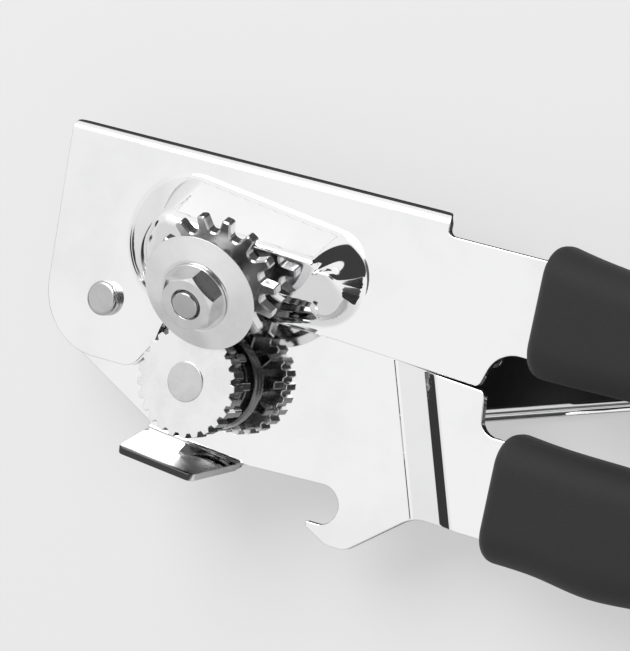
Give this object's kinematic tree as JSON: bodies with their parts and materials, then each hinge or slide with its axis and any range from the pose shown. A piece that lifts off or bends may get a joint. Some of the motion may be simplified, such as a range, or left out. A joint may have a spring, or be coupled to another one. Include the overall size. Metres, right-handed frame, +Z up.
{
  "type": "manual can opener",
  "caption": "Manual can opener: two pivoted plated steel halves with soft grips, a leaning cutting wheel geared to a serrated feed wheel, a bent crank, a cap lifter hook and a rim guide.",
  "frame": {"origin": "centre of the footprint, on the surface that the opener lies on, crank side down", "axes": "+X along the handles away from the head, +Y towards the upper plate's top edge, +Z up out of the cutter side, parallel to the crank axis"},
  "size_m": [0.2162, 0.0654, 0.0429],
  "materials": {
    "chromed_sheet": "polished chromium plate on pressed steel",
    "soft_grip": "matte moulded soft grip, finely grained",
    "grip_core": "hidden hard moulding",
    "hard_steel": "hardened steel, ground and turned faces",
    "bearing_steel": "turned steel, lightly oiled",
    "plated_fixings": "plated steel"
  },
  "bodies": {
    "lower_half": {"lower_plate": "chromed_sheet", "lower_grip": "soft_grip", "lower_grip_core": "grip_core", "lower_grip_pins": "plated_fixings", "pivot_rivet": "plated_fixings", "pivot_washer": "plated_fixings", "shaft_bearing": "bearing_steel", "drive_thrust_washer": "plated_fixings", "back_washer": "plated_fixings", "spring_washer": "plated_fixings"},
    "upper_half": {"upper_plate": "chromed_sheet", "upper_grip": "soft_grip", "upper_grip_core": "grip_core", "upper_grip_pins": "plated_fixings", "cutter_stud": "plated_fixings", "cutter_thrust_washer": "plated_fixings", "cutter_nut_washer": "plated_fixings", "cutter_nut": "plated_fixings"},
    "crank": {"crank_shaft": "plated_fixings", "drive_gear": "hard_steel", "feed_wheel": "hard_steel", "crank_arm": "chromed_sheet", "crank_grip_front": "soft_grip", "crank_grip_back": "soft_grip", "crank_grip_rivets": "plated_fixings", "crank_hub_washer": "plated_fixings"},
    "cutter": {"cutter_bushing": "bearing_steel", "cutter_gear": "hard_steel", "cutter_spacer": "plated_fixings", "cutter_wheel": "hard_steel"}
  },
  "joints": [
    {"name": "jaw_pivot", "type": "hinge", "parent": "lower_half", "child": "upper_half", "pos_m": [-0.09335, 0.00095, 0.0183], "axis": [0, 0, 1], "range_deg": [0, 38]},
    {"name": "crank_turn", "type": "hinge", "parent": "lower_half", "child": "crank", "pos_m": [-0.06695, -0.00865, 0.0183], "axis": [0, 0, 1], "continuous": true},
    {"name": "cutter_spin", "type": "hinge", "parent": "upper_half", "child": "cutter", "pos_m": [-0.06465, 0.01365, 0.0263], "axis": [0.0488, -0.43, 0.9015], "continuous": true}
  ],
  "couplings": [
    {"joint": "cutter_spin", "follows": "crank_turn", "ratio": -0.78571}
  ]
}
